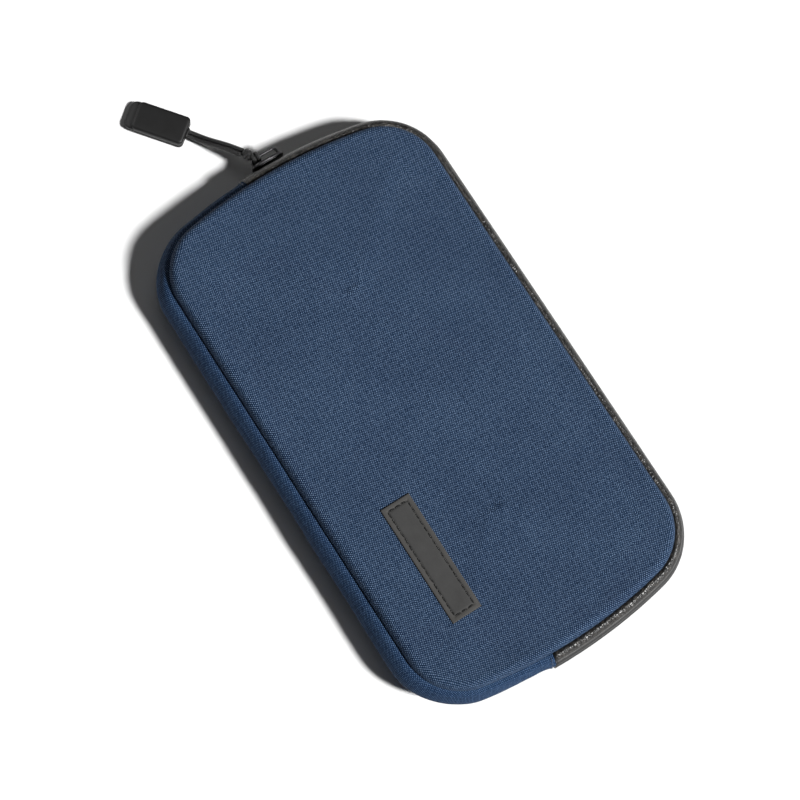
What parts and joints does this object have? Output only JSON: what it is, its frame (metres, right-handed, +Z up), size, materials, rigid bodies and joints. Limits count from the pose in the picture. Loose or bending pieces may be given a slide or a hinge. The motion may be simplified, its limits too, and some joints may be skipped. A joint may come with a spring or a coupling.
{
  "type": "travel document organizer",
  "caption": "Flat padded fabric case with a zip round three sides, leather-look trim, a corded zip pull and inner pockets for a passport, cards and papers.",
  "frame": {"origin": "middle of the flat underside", "axes": "+X to the zipped long side, +Y to the end where the zip slider parks, +Z up through the cover"},
  "size_m": [0.1362, 0.2967, 0.0258],
  "materials": {
    "navy_fabric": "coated woven nylon",
    "lining_fabric": "plain woven lining",
    "padding": "closed-cell foam",
    "trim_leather": "pebbled, satin",
    "zip_tape": "smooth coated tape",
    "zip_coil": "moulded nylon coil",
    "binding_tape": "ribbed tape",
    "elastic": "ribbed elastic",
    "mesh": "open mesh",
    "label_rubber": "matt, sewn all round",
    "slider_metal": "black, satin",
    "cord": "braided polyester",
    "tab_rubber": "soft moulded, matt"
  },
  "bodies": {
    "case": {"back_panel": "navy_fabric", "spine_front_panel": "navy_fabric", "spine_gusset": "navy_fabric", "top_end_tab": "navy_fabric", "bottom_end_tab": "navy_fabric", "back_lining": "lining_fabric", "spine_front_lining": "lining_fabric", "document_sleeve": "lining_fabric", "passport_pocket": "lining_fabric", "card_pocket_rear": "lining_fabric", "card_pocket_middle": "lining_fabric", "card_pocket_front": "lining_fabric", "back_foam": "padding", "spine_front_foam": "padding", "back_trim": "trim_leather", "back_zip_tape": "zip_tape", "back_zip_coil": "zip_coil", "back_binding": "binding_tape", "spine_front_binding": "binding_tape", "pen_loop": "elastic", "label": "label_rubber", "top_zip_stop": "slider_metal", "bottom_zip_stop": "slider_metal"},
    "cover": {"cover_panel": "navy_fabric", "cover_foam": "padding", "cover_lining": "lining_fabric", "cover_binding": "binding_tape", "front_trim": "trim_leather", "front_zip_tape": "zip_tape", "front_zip_coil": "zip_coil", "mesh_pocket": "mesh", "mesh_pocket_hem": "elastic"},
    "slider": {"slider_body": "slider_metal", "slider_bail": "slider_metal"},
    "knot": {"pull_knot": "cord"},
    "pull": {"pull_cord": "cord", "pull_tab": "tab_rubber"}
  },
  "joints": [
    {"name": "cover_fold", "type": "hinge", "parent": "case", "child": "cover", "pos_m": [-0.012, 0, 0.025], "axis": [0, -1, 0], "range_deg": [0, 75]},
    {"name": "slider_travel", "type": "hinge", "parent": "case", "child": "slider", "pos_m": [0, -0.1108, 0.0125], "axis": [0, 0, -1], "range_deg": [0, 8]},
    {"name": "pull_lift", "type": "hinge", "parent": "slider", "child": "knot", "pos_m": [-0.001, 0.12548, 0.0125], "axis": [1, 0, 0], "range_deg": [0, 90]},
    {"name": "pull_swing", "type": "hinge", "parent": "knot", "child": "pull", "pos_m": [-0.003, 0.12848, 0.0125], "axis": [0, 0, 1], "range_deg": [-75, 25]}
  ]
}
